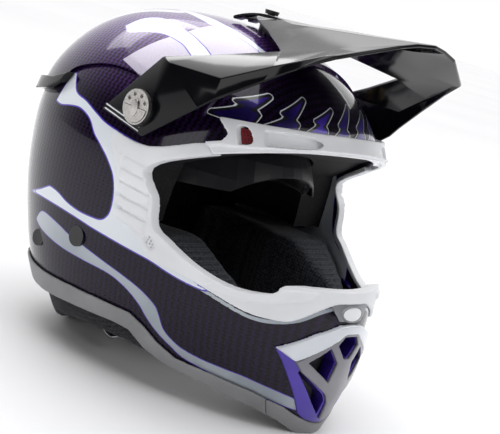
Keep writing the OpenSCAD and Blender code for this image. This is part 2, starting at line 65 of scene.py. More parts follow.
# Side outlines, (f, z).
BASE = [(-150, 36), (-60, 36), (-20, 37), (18, 40.5), (60, 43.5), (74, 42.5), (86, 33), (102, 27), (128, 23),
        (159, 16.5), (173, 10), (180, 2), (212, 2)]
RIM = [(212, 9), (186, 9), (175, 20), (159, 26), (135, 30), (110, 32), (96, 39), (86, 47), (74, 53), (48, 53),
       (17, 52), (-17, 50), (-150, 50)]
PORT = [(62, 161), (93, 181), (118, 192), (137, 200), (149, 205), (212, 205), (212, 104), (170, 105), (160, 97),
        (138, 94), (113, 100), (90, 111), (78, 119), (73, 140)]
SIGHT = [(66, 159), (97, 178), (122, 189), (141, 197), (153, 201), (212, 201), (212, 110), (168, 110), (160, 101),
         (138, 98), (115, 104), (93, 115), (82, 122), (77, 140)]
TRIM = [(24, 176), (61, 173), (97, 188), (103.5, 181.2), (212, 181.2), (212, 103), (184, 102), (180, 95),
        (172, 85), (162, 83), (148, 84), (122, 92), (104, 96), (85, 98), (72, 111), (57, 117), (57, 124),
        (54, 132), (49, 140), (44, 149), (34, 162)]
BROW = [(97.4, 188.9), (106, 192.6), (107, 198), (96, 207), (120, 210), (140, 213), (150, 215), (212, 215),
        (212, 201.6), (153, 201.6), (141, 197.6), (122, 189.6), (104, 181.9)]
CROWN = [(-48, 191), (-43, 203), (-21, 212.5), (0, 216.5), (27, 216), (60, 211), (85, 204), (85, 300),
         (-150, 300), (-150, 172), (-62, 186)]
SPOILER = [(-40, 200), (-60, 192), (-150, 176), (-150, 164), (-62, 182), (-44, 191)]
# Front outlines, (x, z).
MOUTH = [(0, 88), (12, 87), (31, 79), (53, 64), (47, 56), (22, 17), (10, 8.5), (0, 8.5)]
MOUTH_BAND = [(0, 88), (12, 87), (31, 79), (53, 64), (41, 57.5), (28, 67), (13, 77), (7, 81.5), (0, 81.5)]
MOUTH_FRAME = [(0, 83), (8, 82), (14, 77), (29, 67), (40, 57), (34, 50), (10, 35), (5.5, 28), (3.5, 14), (0, 13.5)]
SIDE_WINDOW = [(8.5, 59.5), (18, 70.5), (32, 58), (11.5, 44.5)]
TOP_WINDOW = [(12, 73), (7, 79.5), (-7, 79.5), (-12, 73), (-3.5, 63), (3.5, 63)]
RECESS = [(6.5, 29), (11, 34.5), (37, 52.5), (15.5, 26), (6.5, 17)]


# ---- Solids --------------------------------------------------------------------------------------------------

def knot(i):
    if i < 0:
        return 2 * STATIONS[0] - STATIONS[1]
    if i > LAST:
        return STATIONS[LAST - 1] * np.array([1, -1, -1, -1, 1, 1])
    return STATIONS[i]


def station(s):
    i = min(int(s), LAST - 1)
    t = s - i
    a, b, c, d = (knot(i + k) for k in (-1, 0, 1, 2))
    return 0.5 * (2 * b + (c - a) * t + (2 * a - 5 * b + 4 * c - d) * t * t + (3 * b - a - 3 * c + d) * t ** 3)


def wall_ring(s, d, bearings):
    """One level ring of the wall that lies d outside the shell's face."""
    st = station(s)
    up = min(max((st[0] - CROWN_FROM) / CROWN_R, 0), 1) ** 1.5
    out = math.sqrt(1 - up * up)
    wide = max(st[1] + d * out, 0)
    near = min(1, wide / 60)
    base = 10 * near
    c, sn = np.cos(bearings), np.sin(bearings)
    n = np.where(c > 0, st[4], st[5])
    reach = np.where(c > 0, max(st[2] + d * out - base, 0), max(base - st[3] + d * out, 0))
    x = wide * np.sign(sn) * np.abs(sn) ** (2 / n)
    f = base + 8 * (1 - near) + reach * np.sign(c) * np.abs(c) ** (2 / n)
    return np.stack([x, f, np.full_like(x, st[0] + d * up)], 1)


def new_object(name, points, faces):
    """A mesh object from points in (x, f, z) millimetres."""
    pts = np.asarray(points, float)
    xyz = np.stack([pts[:, 0], MID_F - pts[:, 1], pts[:, 2]], 1) * MM
    mesh = bpy.data.meshes.new(name)
    mesh.from_pydata(xyz.tolist(), [], [tuple(int(i) for i in f) for f in faces])
    mesh.update()
    obj = bpy.data.objects.new(name, mesh)
    bpy.context.scene.collection.objects.link(obj)
    bm = bmesh.new()
    bm.from_mesh(mesh)
    bmesh.ops.recalc_face_normals(bm, faces=bm.faces)
    bm.to_mesh(mesh)
    bm.free()
    return obj


def inside(d, fine=True):
    """The closed body of everything inside the wall at d."""
    count, step = (FINE_RING, FINE_STEP) if fine else (ROUGH_RING, ROUGH_STEP)
    bearings = np.arange(count) * (2 * math.pi / count)
    rings = [wall_ring(s, d, bearings) for s in np.append(np.arange(0, LAST - 0.1, step), LAST - 0.06)]
    foot = rings[0].copy()
    foot[:, 2] = -12
    rings.insert(0, foot)
    points = np.concatenate(rings)
    m = len(rings)
    j = np.arange(count)
    k = (j + 1) % count
    quads = np.concatenate([np.stack([i * count + j, i * count + k, (i + 1) * count + k, (i + 1) * count + j], 1)
                            for i in range(m - 1)])
    top = rings[-1].mean(0) + [0, 0, 0.02]
    points = np.concatenate([points, [foot.mean(0)], [top]])
    low, high = m * count, m * count + 1
    rim = (m - 1) * count
    caps = [(low, b, a) for a, b in zip(j, k)] + [(high, rim + a, rim + b) for a, b in zip(j, k)]
    return new_object("body", points, [*quads, *caps])


def soften(points, corners=(), steps=5):
    """A closed outline rounded through its points; the listed points stay corners."""
    n, out = len(points), []
    pts = [np.array(p, float) for p in points]
    for i in range(n):
        b, c = pts[i], pts[(i + 1) % n]
        a = b if i in corners else pts[i - 1]
        d = c if (i + 1) % n in corners else pts[(i + 2) % n]
        for t in np.arange(steps) / steps:
            out.append(0.5 * (2 * b + (c - a) * t + (2 * a - 5 * b + 4 * c - d) * t * t
                              + (3 * b - a - 3 * c + d) * t ** 3))
    return [tuple(p) for p in out]


def slab(points, place):
    """A closed prism: place(point, end) gives the (x, f, z) of an outline point at either end."""
    n = len(points)
    verts = [place(p, 0) for p in points] + [place(p, 1) for p in points]
    faces = [tuple(range(n)), tuple(range(2 * n - 1, n - 1, -1))]
    faces += [(i, (i + 1) % n, n + (i + 1) % n, n + i) for i in range(n)]
    return new_object("cutter", verts, faces)


def side_cut(points, x0=-170, x1=170):
    return slab(points, lambda p, e: (x1 if e else x0, p[0], p[1]))


def front_cut(points, f0=90, f1=240):
    return slab(points, lambda p, e: (p[0], f1 if e else f0, p[1]))


def rod(radius, x0, x1, f, z, count=64):
    turn = np.arange(count) * (2 * math.pi / count)
    return slab(list(zip(f + radius * np.cos(turn), z + radius * np.sin(turn))),
                lambda p, e: (x1 if e else x0, p[0], p[1]))


def mirrored(points):
    return list(points) + [(-p[0], p[1]) for p in reversed(points) if abs(p[0]) > 1e-6]


def flipped(points):
    return [(-p[0], p[1]) for p in points]


def bake(obj):
    """Applies the object's modifiers."""
    view = bpy.context.evaluated_depsgraph_get()
    mesh = bpy.data.meshes.new_from_object(obj.evaluated_get(view))
    old = obj.data
    obj.modifiers.clear()
    obj.data = mesh
    bpy.data.meshes.remove(old)
    return obj


def combine(obj, tool, how):
    mod = obj.modifiers.new("join", "BOOLEAN")
    mod.operation, mod.object, mod.solver = how, tool, "MANIFOLD"
    bake(obj)
    bpy.data.objects.remove(tool)
    return obj


def minus(obj, *tools):
    for tool in tools:
        combine(obj, tool, "DIFFERENCE")
    return obj


def common(obj, *tools):
    for tool in tools:
        combine(obj, tool, "INTERSECT")
    return obj


def plus(obj, *tools):
    for tool in tools:
        combine(obj, tool, "UNION")
    return obj


def skin(d_out, d_in, fine=True):
    """The wall between two offsets from the shell's face."""
    return minus(inside(d_out, fine), inside(d_in, False))


def rounded(obj, cell, passes=3):
    """Rounds every edge of a moulded piece by remeshing it finely and relaxing it."""
    mod = obj.modifiers.new("grid", "REMESH")
    mod.mode, mod.voxel_size = "VOXEL", cell * MM
    relax = obj.modifiers.new("relax", "SMOOTH")
    relax.factor, relax.iterations = 0.5, passes
    return bake(obj)


def smooth(obj, degrees=None):
    """Smooth shading, with edges sharper than the angle kept crisp."""
    obj.data.polygons.foreach_set("use_smooth", [True] * len(obj.data.polygons))
    if degrees is not None:
        obj.data.set_sharp_from_angle(angle=math.radians(degrees))
    obj.data.update()
    return obj


def finish_piece(obj, name, body, material, nodes=()):
    obj.name = name
    obj.data.name = name
    obj.data.materials.clear()
    obj.data.materials.append(material)
    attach(obj, body)
    if nodes:
        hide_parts(*nodes)
    return obj


# ---- Materials -----------------------------------------------------------------------------------------------

class Paint:
    """A small builder for one node material."""

    def __init__(self, name):
        self.mat = bpy.data.materials.new(name)
        self.mat.use_nodes = True
        self.tree = self.mat.node_tree
        self.tree.nodes.clear()
        self.out = self.tree.nodes.new("ShaderNodeOutputMaterial")

    def add(self, kind, settings=None, **inputs):
        node = self.tree.nodes.new("ShaderNode" + kind)
        for key, value in (settings or {}).items():
            setattr(node, key, value)
        for key, value in inputs.items():
            numbered = key[0] == "i" and key[1:].isdigit()
            socket = node.inputs[int(key[1:]) if numbered else key.replace("_", " ")]
            if isinstance(value, bpy.types.NodeSocket):
                self.tree.links.new(value, socket)
            else:
                socket.default_value = value
        return node

    def math(self, how, a, b=0.0, c=None):
        third = {} if c is None else {"i2": c}
        return self.add("Math", {"operation": how}, i0=a, i1=b, **third).outputs[0]

    def ramp(self, value, stops):
        node = self.add("ValToRGB", None, Fac=value)
        bar = node.color_ramp
        while len(bar.elements) > 1:
            bar.elements.remove(bar.elements[0])
        for i, (at, colour) in enumerate(stops):
            el = bar.elements[0] if i == 0 else bar.elements.new(at)
            el.position, el.color = at, (*colour, 1)
        return node.outputs[0]

    def place(self):
        return self.add("TexCoord").outputs["Object"]

    def noise(self, scale, detail=3.0):
        return self.add("TexNoise", None, Vector=self.place(), Scale=scale, Detail=detail).outputs[0]

    def bump(self, height, strength, depth):
        return self.add("Bump", None, Height=height, Strength=strength, Distance=depth * MM).outputs[0]

    def shader(self, **inputs):
        return self.add("BsdfPrincipled", None, **inputs)

    def done(self, shader):
        self.tree.links.new(shader.outputs[0], self.out.inputs[0])
        return self.mat


def plain(name, dark, light, rough, depth=0.02, **inputs):
    """A moulded or cast surface: a slow drift of tone and a fine grain."""
    p = Paint(name)
    tone = p.ramp(p.noise(18.0), [(0.3, dark), (0.7, light)])
    normal = p.bump(p.noise(1200.0, 4.0), 0.35, depth)
    return p.done(p.shader(Base_Color=tone, Roughness=rough, Normal=normal, **inputs))


def attribute(p, name, part="Fac"):
    return p.add("Attribute", {"attribute_name": name}).outputs[part]


def edge(p, distance, at, soft=0.16):
    """1 where the distance, in millimetres, is under the given value."""
    return p.add("MapRange", {"interpolation_type": "SMOOTHSTEP"}, Value=distance, i1=at - soft, i2=at + soft,
                 i3=1.0, i4=0.0).outputs[0]


def carbon_layers(p):
    """The bare weave under the clear coat: upright bars of purple tow, stepped like brickwork, its tone carrying
    painted top light and painted shade.
    """
    place = p.add("SeparateXYZ", None, i0=attribute(p, "cloth", "Vector"))
    along, down = place.outputs[0], place.outputs[1]
    row = p.math("FLOOR", p.math("DIVIDE", down, CARBON_ROW))
    step = p.math("MULTIPLY", p.math("MODULO", row, 2.0), 0.17)
    bars = p.math("FRACT", p.math("ADD", p.math("DIVIDE", along, CARBON_PITCH), step))
    wave = p.math("SINE", p.math("MULTIPLY", bars, 2 * math.pi))
    weft = p.math("SINE", p.math("MULTIPLY", down, 2.4))
    weave = p.math("MULTIPLY_ADD", weft, 0.22, p.math("MULTIPLY_ADD", wave, 0.40, 0.5))
    # The purple tint is the weave's own, but its brightness is painted light: a painted highlight up the crown and
    # towards the back, and painted shade lower down and towards the brow.
    high = p.add("MapRange", None, Value=down, i1=190.0, i2=262.0).outputs[0]
    behind = p.add("MapRange", None, Value=along, i1=95.0, i2=45.0).outputs[0]
    # Shaded and lit copies of the weave's colour: the dark one is painted shade, the bright one painted top light.
    shaded_weave_tone = p.ramp(weave, [(0.15, (0.0012, 0.0005, 0.0022)), (0.85, (0.0120, 0.0032, 0.0260))])
    lit_weave_tone = p.ramp(weave, [(0.25, (0.010, 0.003, 0.022)), (0.8, (0.160, 0.050, 0.330))])
    # The mix lays the painted highlight over the crown and the painted shade lower down.
    painted_light_blend = p.add("Mix", {"data_type": "RGBA"}, i0=p.math("MULTIPLY", high, behind), i6=shaded_weave_tone, i7=lit_weave_tone)
    return painted_light_blend.outputs[2], p.bump(weave, 0.35, 0.12)


def livery():
    """Carbon under lacquer, with the painted bands laid over it. Distances to each outline are on the mesh."""
    p = Paint("livery")
    # tone holds the carbon's colour with painted top light and painted shade in it.
    tone, weave = carbon_layers(p)
    fleck = p.noise(900.0, 2.0)
    carbon = p.shader(Base_Color=tone, Metallic=0.2, Roughness=0.34, Normal=weave, Specular_IOR_Level=0.06,
                      Coat_Weight=1.0, Coat_Roughness=0.07, Coat_IOR=1.33)
    white = p.shader(Base_Color=p.ramp(p.noise(9.0), [(0.3, (0.70, 0.76, 0.82)), (0.7, (0.86, 0.89, 0.93))]),
                     Roughness=0.32, Coat_Weight=1.0, Coat_Roughness=0.03)
    blue = p.shader(Base_Color=p.ramp(fleck, [(0.3, (0.040, 0.012, 0.36)), (0.7, (0.085, 0.035, 0.62))]),
                    Roughness=0.3, Coat_Weight=1.0, Coat_Roughness=0.03)
    silver = p.shader(Base_Color=p.ramp(p.noise(14.0), [(0.3, (0.24, 0.27, 0.31)), (0.7, (0.42, 0.46, 0.50))]),
                      Metallic=0.5, Roughness=0.36, Coat_Weight=1.0, Coat_Roughness=0.04)
    lilac = p.shader(Base_Color=p.ramp(p.math("MULTIPLY_ADD", fleck, 0.5, 0.2),
                                       [(0.2, (0.42, 0.37, 0.50)), (0.8, (0.66, 0.62, 0.72))]),
                     Metallic=0.25, Roughness=0.4, Coat_Weight=1.0, Coat_Roughness=0.03)
    shard_d = attribute(p, "shard")
    glow = p.ramp(p.noise(30.0, 1.0), [(0.35, (0.012, 0.004, 0.11)), (0.62, (0.075, 0.030, 0.52))])
    shard = p.shader(Base_Color=glow, Metallic=0.4, Roughness=0.3, Coat_Weight=1.0, Coat_Roughness=0.03)
    black = p.shader(Base_Color=p.ramp(fleck, [(0.3, (0.002, 0.002, 0.004)), (0.7, (0.008, 0.006, 0.012))]),
                     Roughness=0.3, Coat_Weight=1.0, Coat_Roughness=0.03)
    white_d, silver_d, lilac_d = attribute(p, "white"), attribute(p, "silver"), attribute(p, "lilac")
    shader = carbon
    for layer, mask in (
            (lilac, edge(p, lilac_d, 0.0)), (blue, edge(p, silver_d, 0.55)), (silver, edge(p, silver_d, 0.0)),
            (silver, edge(p, attribute(p, "line"), 0.0)),
            (blue, edge(p, white_d, 0.95)), (white, edge(p, white_d, 0.0)), (white, edge(p, shard_d, 1.8)),
            (black, edge(p, shard_d, 1.3)), (shard, edge(p, shard_d, 0.0))):
        shader = p.add("MixShader", None, i0=mask, i1=shader.outputs[0], i2=layer.outputs[0])
    return p.done(shader)


def knit(name, dark, light, scale, depth=0.5):
    """Knitted lining: rows of small cells with a soft nap."""
    p = Paint(name)
    cells = p.add("TexVoronoi", {"feature": "F1"}, Vector=p.place(), Scale=scale, Randomness=0.35).outputs[0]
    fuzz = p.noise(scale * 3.2, 4.0)
    tone = p.ramp(p.math("MULTIPLY", cells, fuzz), [(0.05, light), (0.4, dark)])
    return p.done(p.shader(Base_Color=tone, Roughness=0.92, Specular_IOR_Level=0.2, Sheen_Weight=0.12,
                           Sheen_Roughness=0.4, Normal=p.bump(cells, 0.8, depth)))


def webbing_paint(name, dark, light):
    """Woven tape: fine ribs across and a twill along it."""
    p = Paint(name)
    ribs = p.add("TexWave", {"bands_direction": "DIAGONAL"}, Vector=p.place(), Scale=260.0,
                 Distortion=0.6).outputs[1]
    tone = p.ramp(ribs, [(0.2, dark), (0.8, light)])
    return p.done(p.shader(Base_Color=tone, Roughness=0.8, Normal=p.bump(ribs, 0.6, 0.25)))


def beads(name, dark, light):
    """Moulded bead foam."""
    p = Paint(name)
    cells = p.add("TexVoronoi", {"feature": "DISTANCE_TO_EDGE"}, Vector=p.place(), Scale=330.0).outputs[0]
    tone = p.ramp(cells, [(0.02, dark), (0.25, light)])
    return p.done(p.shader(Base_Color=tone, Roughness=0.85, Normal=p.bump(cells, 0.5, 0.3)))


def brushed(name, dark, light, rough):
    """Turned or brushed metal."""
    p = Paint(name)
    grain = p.noise(700.0, 6.0)
    tone = p.ramp(grain, [(0.25, dark), (0.75, light)])
    return p.done(p.shader(Base_Color=tone, Metallic=1.0, Roughness=rough, Normal=p.bump(grain, 0.3, 0.03)))


def grille(name, dark, light):
    """Fine perforated mesh."""
    p = Paint(name)
    holes = p.add("TexVoronoi", {"feature": "F1"}, Vector=p.place(), Scale=620.0, Randomness=0.05).outputs[0]
    tone = p.ramp(holes, [(0.25, dark), (0.45, light)])
    return p.done(p.shader(Base_Color=tone, Metallic=0.3, Roughness=0.45, Normal=p.bump(holes, 0.8, 0.4)))


# ---- Livery outlines: f and girth, the height up the side carried on over the crown --------------------------

HOOK = [(-47, 176), (-44, 192), (-40, 200), (-27, 187), (-10, 183), (6, 178), (22, 174), (60, 170), (75, 120),
        (106, 104), (112, 94), (125, 89.5), (112, 90.4), (98, 93.2), (83, 97), (64, 99.3), (48, 101), (32, 102.5),
        (18, 104), (4, 105), (-11, 105.5), (-34, 105), (-50, 103), (-35, 109), (-26, 113.5), (-21, 115.5),
        (-10, 114.5), (2, 111), (16, 109), (28, 109), (38, 110), (43.5, 114), (46, 121), (45, 133), (40, 145),
        (31, 154), (20, 161), (11, 166), (3, 172.5), (-5, 176), (-15, 178), (-26, 177), (-38, 175)]
SILVER_LOW = [(-36, 85), (-30, 92.5), (-22, 94.5), (-4, 92), (12, 88), (25, 86), (45, 82), (63, 78), (79, 73),
              (91, 66), (95, 60), (99, 51), (104, 46), (113, 41), (127, 38), (142, 36.5), (157, 34.5), (180, 27),
              (186, 17), (158, 25), (118, 33.5), (106, 39.5), (96, 46), (87, 54), (80, 62), (68, 70), (52, 75),
              (27, 76), (2, 77), (-24, 80.5)]
CHIN_LINE = [(92, 95.5), (122, 90.6), (148, 82.4), (162, 82.4), (173, 87), (181, 97), (188, 105), (188, 102.4),
             (182, 95), (174, 84.8), (162, 79.6), (148, 79.8), (122, 88), (98, 93.2)]
SWOOSH = [(-32, 250), (-20, 244), (-7, 248.5), (3, 251), (12, 252), (22, 251), (33, 249), (43, 245), (60, 238),
          (66, 246), (51, 254), (42, 257), (30, 261), (18, 264), (4, 268), (-9, 270), (-18, 270), (-28, 264)]
SECOND = [(-30, 309), (-8, 304), (8, 301), (25, 296.5), (46, 293), (67, 290), (86, 288), (86, 283), (60, 286),
          (40, 286), (23, 286), (4, 291), (-10, 296), (-28, 302)]
BACK_STRIPE = [(-108, 205), (-95, 236), (-70, 262), (-44, 281), (-20, 292), (-24, 300), (-50, 290), (-78, 271),
               (-103, 243), (-116, 208)]
LILAC = [(1, 219), (18, 253), (22, 264), (24, 283), (46, 292), (86, 289), (78, 262), (64, 232), (48, 212), (30, 212)]
# Angular shards on the forehead, in (x, z): they run right across, so they are not mirrored.
SHARDS = [[(x - 2, 207.5), (x + 14, 206.5), (x + 21, 215), (x + 17, 216), (x + 33, 228 + rise), (x + 12, 219),
           (x + 16, 217.5)] for x, rise in ((-92, 0), (-68, 3), (-44, 0), (-20, 4), (4, 1), (28, 3), (52, 0))]


def distance_to(points, outline):
    """Signed distance of each point to a closed outline, negative inside."""
    poly = np.array(outline)
    best = np.full(len(points), 1e9)
    within = np.zeros(len(points), bool)
    for a, b in zip(poly, np.roll(poly, -1, 0)):
        ab = b - a
        ap = points - a
        t = np.clip(ap @ ab / max(ab @ ab, 1e-9), 0, 1)
        gap = ap - t[:, None] * ab
        best = np.minimum(best, (gap ** 2).sum(1))
        crosses = (a[1] > points[:, 1]) != (b[1] > points[:, 1])
        with np.errstate(divide="ignore", invalid="ignore"):
            at = a[0] + (points[:, 1] - a[1]) / (b[1] - a[1]) * ab[0]
        within ^= crosses & (points[:, 0] < at)
    return np.where(within, -1, 1) * np.sqrt(best)


def paint_maps(obj):
    """Stores, on every vertex, the cloth position and the distance to each painted outline."""
    mesh = obj.data
    co = np.empty(len(mesh.vertices) * 3)
    mesh.vertices.foreach_get("co", co)
    co = co.reshape(-1, 3) / MM
    x, f, z = co[:, 0], MID_F - co[:, 1], co[:, 2]
    girth = np.where(z > CROWN_FROM, CROWN_FROM + CROWN_R * np.arctan2(z - CROWN_FROM, np.abs(x)), z)
    side = np.stack([f, girth], 1)
    front = np.stack([x, z], 1)
    white = np.minimum.reduce([distance_to(side, soften(o, c)) for o, c in (
        (HOOK, (0, 7, 10, 22)), (SWOOSH, (0,)), (SECOND, ()), (BACK_STRIPE, ()))])
    silver = distance_to(side, soften(SILVER_LOW, (0, 18)))
    line = distance_to(side, soften(CHIN_LINE))
    lilac = distance_to(side, soften(LILAC, (0, 1, 3, 4, 5, 6)))
    shard = np.where(f > 70, np.minimum.reduce([distance_to(front, o) for o in SHARDS]), 60.0)
    for name, value in (("white", white), ("silver", silver), ("line", line), ("lilac", lilac), ("shard", shard)):
        mesh.attributes.new(name, "FLOAT", "POINT").data.foreach_set("value", value.astype(np.float32))
    # Round the back, under the crown panel, the weave runs level across the shell.
    rear = np.clip((-62 - f) / 30, 0, 1) * np.clip((194 - z) / 6, 0, 1)
    cloth = np.stack([f + (np.abs(x) - 180 - f) * rear, girth + (z - girth) * rear, np.zeros(len(x))], 1)
    layer = mesh.attributes.new("cloth", "FLOAT_VECTOR", "POINT")
    layer.data.foreach_set("vector", cloth.astype(np.float32).ravel())


# ---- Shell and its mouldings ---------------------------------------------------------------------------------

def make_shell():
    shell = skin(0, -SHELL_T)
    minus(shell, side_cut(BASE + [(212, -40), (-150, -40)]), side_cut(soften(PORT, (5, 6))))
    crown = common(skin(2.6, -0.6), side_cut(soften(CROWN, (6, 7, 8, 9, 10))))
    plus(shell, crown)
    minus(shell, front_cut(mirrored([(p[0] * 0.93, 47 + (p[1] - 47) * 0.9) for p in MOUTH]), 120, 230))
    groove = common(skin(1.0, -1.1), side_cut([(-60, 186), (-50, 189.4), (-45, 201.6), (-22, 210.9), (0, 214.9),
                                               (27, 214.4), (62, 209.4), (62, 211), (27, 216.1), (0, 216.6),
                                               (-21, 212.6), (-43, 203.1), (-48, 191), (-60, 188)]))
    minus(shell, groove)
    for sign in (-1, 1):
        minus(shell, rod(8.5, 60 * sign, 150 * sign, PIVOT_F, PIVOT_Z))
    paint_maps(shell)
    smooth(shell, 32)
    return finish_piece(shell, "painted_shell", "helmet", livery(), ("shell",))


def make_spoiler(gloss):
    tail = common(skin(6.8, 0.2), side_cut(SPOILER))
    rounded(tail, 0.8)
    return finish_piece(smooth(tail), "tail", "helmet", gloss, ("rear_spoiler",))


def base_band(f0, f1):
    low = [(p[0], p[1] - 2.8) for p in BASE]
    band = common(skin(TRIM_T, LAP), side_cut(low + RIM))
    lip = common(skin(TRIM_T, -SHELL_T - 2, False), side_cut(low + [(p[0], p[1] - 0.2) for p in reversed(BASE)]))
    plus(band, lip)
    common(band, side_cut([(f0, 0), (f1, 0), (f1, 60), (f0, 60)]))
    return rounded(band, 0.85, 2)


def make_base(material):
    finish_piece(smooth(base_band(-150, 166.8)), "rim_rear", "helmet", material, ("base_trim",))
    finish_piece(smooth(base_band(167.1, 211)), "rim_chin", "helmet", material, ("chin_base_trim",))


def make_eyeport_trim(material):
    trim = common(skin(TRIM_T, LAP), side_cut(soften(TRIM, (0, 3, 4, 5, 6, 15, 16, 17, 18), 4)))
    # The collar goes through the shell, a little inside the edge of its opening.
    collar = common(skin(TRIM_T, -SHELL_T - 2), side_cut([
        (110 + (p[0] - 110) * 0.985 if p[0] < 200 else 212, 150 + (p[1] - 150) * 0.985)
        for p in soften(PORT, (5, 6))]))
    lip = common(skin(4.2, 2.2), side_cut(soften([
        (126, 96), (141, 98.5), (157, 101), (168, 106), (178, 108), (178, 103), (168, 98), (158, 93.5), (142, 91.5),
        (128, 92.5)], (), 4)))
    plus(trim, collar, lip)
    for k in range(5):
        lean = k * 1.6
        rib = [(52 - lean, 118.4 + 9 * k), (78 - lean * 0.6, 115 + 9 * k), (78 - lean * 0.6, 121.6 + 9 * k),
               (52 - lean, 124.6 + 9 * k)]
        for sign in (-1, 1):
            plus(trim, common(skin(4.3, 2.2, False), side_cut(rib, 90 * sign, 150 * sign)))
    minus(trim, side_cut(soften(SIGHT, (5, 6), 5)),
          side_cut([(103.6, 181), (122, 188.8), (153, 200.8), (212, 200.8), (212, 240), (97.6, 240), (97.6, 187.9)]),
          side_cut([(-40, 120), (30, 120), (30, 200), (-40, 200)]))
    slots = common(skin(6, 0.9, False), side_cut(soften([
        (78, 112), (81, 114.5), (85, 112), (87, 107), (84, 104.5), (80, 107)], (), 4), -150, 150))
    minus(trim, slots)
    for k in range(6):
        lean = k * 1.6
        line = [(50 - lean, 116.4 + 9 * k), (79 - lean * 0.6, 113.2 + 9 * k), (79 - lean * 0.6, 114.3 + 9 * k),
                (50 - lean, 117.6 + 9 * k)]
        minus(trim, common(skin(6, 1.4, False), side_cut(line, -150, 150)))
    rounded(trim, 0.75, 3)
    return finish_piece(smooth(trim), "eyeport_moulding", "helmet", material, ("eyeport_trim",))


def make_brow(material):
    brow = common(skin(6, LAP), side_cut(BROW))
    flange = common(skin(6, -SHELL_T - 2), side_cut([
        (118, 189.2), (122, 190.8), (141, 198.8), (154, 202.4), (212, 202.4), (212, 204), (151, 204), (135, 198.2),
        (116.5, 190.2)]))
    plus(brow, flange)
    ledge = [(100, 186.6), (106, 189.5), (122, 193.2), (141, 199.6), (153, 203.8), (212, 203.8), (212, 199),
             (100, 180)]
    scoop = soften([(122, 206.5), (138, 209), (145, 206), (143, 201.2), (127, 196.6)], (0, 4))
    opening = soften([(109, 204), (115, 204.8), (121, 196.5), (115, 193)], (3,))
    minus(brow, common(skin(8, 4.2, False), side_cut(ledge)), common(skin(8, 2.6, False), side_cut(scoop)),
          side_cut(opening))
    rounded(brow, 0.7, 2)
    finish_piece(smooth(brow), "brow_moulding", "helmet", material, ("brow_housing",))


def windows():
    return [front_cut(SIDE_WINDOW), front_cut(flipped(SIDE_WINDOW)), front_cut(TOP_WINDOW)]


def make_mouthpiece(violet, grey, pale, black):
    rim = side_cut([(p[0], p[1] + (0.4 if p[0] > 160 else 0)) for p in RIM] + [(-150, 120), (212, 120)])
    body = common(skin(1.6, LAP), front_cut(mirrored(MOUTH), 120, 230), rim)
    core = common(skin(0.8, -9, False), front_cut(mirrored([(p[0] * 0.9, 47 + (p[1] - 47) * 0.87) for p in MOUTH]),
                                                  120, 230))
    plus(body, core)
    minus(body, *windows(), front_cut(RECESS), front_cut(flipped(RECESS)))
    rounded(body, 0.55, 3)
    finish_piece(smooth(body), "mouth_body", "helmet", violet, ("chin_vent_body",))
    arms = common(skin(3.9, 1.7), front_cut(mirrored(MOUTH_FRAME), 120, 230))
    minus(arms, *windows())
    rounded(arms, 0.5, 3)
    finish_piece(smooth(arms), "mouth_frame", "helmet", grey, ("chin_vent_frame",))
    band = common(skin(4.6, LAP), front_cut(mirrored(MOUTH_BAND), 120, 230))
    rounded(band, 0.6, 3)
    finish_piece(smooth(band), "mouth_band", "helmet", pale, ())
    back = common(skin(-9.2, -10.8, False),
                  front_cut(mirrored([(0, 84), (30, 76), (40, 57), (22, 22), (0, 18)]), 120, 230))
    finish_piece(smooth(back, 30), "mouth_filter", "helmet", black, ("chin_vent_filter",))


def make_badge(rim_paint, face_paint):
    turn = np.arange(48) * (2 * math.pi / 48)

    def oval(w, h):
        return list(zip(w * np.cos(turn), 95 + h * np.sin(turn)))
    backing = common(skin(1.0, LAP), front_cut([(-24, 102), (-14, 103), (14, 103), (24, 102), (19, 96), (13, 89.5),
                                               (-13, 89.5), (-19, 96)], 150, 230))
    plate = common(skin(2.2, LAP), front_cut(oval(12.5, 6.0), 150, 230))
    minus(plate, common(skin(3, 1.7, False), front_cut(oval(11.3, 4.9), 150, 230)))
    plus(plate, backing)
    rounded(plate, 0.35, 2)
    finish_piece(smooth(plate), "badge_rim", "helmet", rim_paint, ("badge_plate",))
    face = common(skin(1.9, 0.9, False), front_cut(oval(11.2, 4.8), 150, 230))
    finish_piece(smooth(face, 30), "badge_face", "helmet", face_paint, ())


def make_rear_vents(black):
    hood = [(24, 108), (60, 112), (60, 128), (24, 132)]
    for sign, name in ((-1, "right"), (1, "left")):
        outline = [(sign * (42 + (p[0] - 42) * 1.15), 120 + (p[1] - 120) * 1.3) for p in hood]
        vent = common(skin(1.8, LAP), front_cut(outline, -180, -60))
        for k in range(3):
            bar = [(sign * 27, 112.5 + 5.5 * k), (sign * 57, 113.3 + 5.5 * k), (sign * 57, 116.3 + 5.5 * k),
                   (sign * 27, 115.5 + 5.5 * k)]
            minus(vent, common(skin(2.5, 0.8, False), front_cut(bar, -180, -60)))
        rounded(vent, 0.6, 2)
        finish_piece(smooth(vent), "exhaust_" + name, "helmet", black, ("rear_vent_" + name,))


# ---- Visor ---------------------------------------------------------------------------------------------------

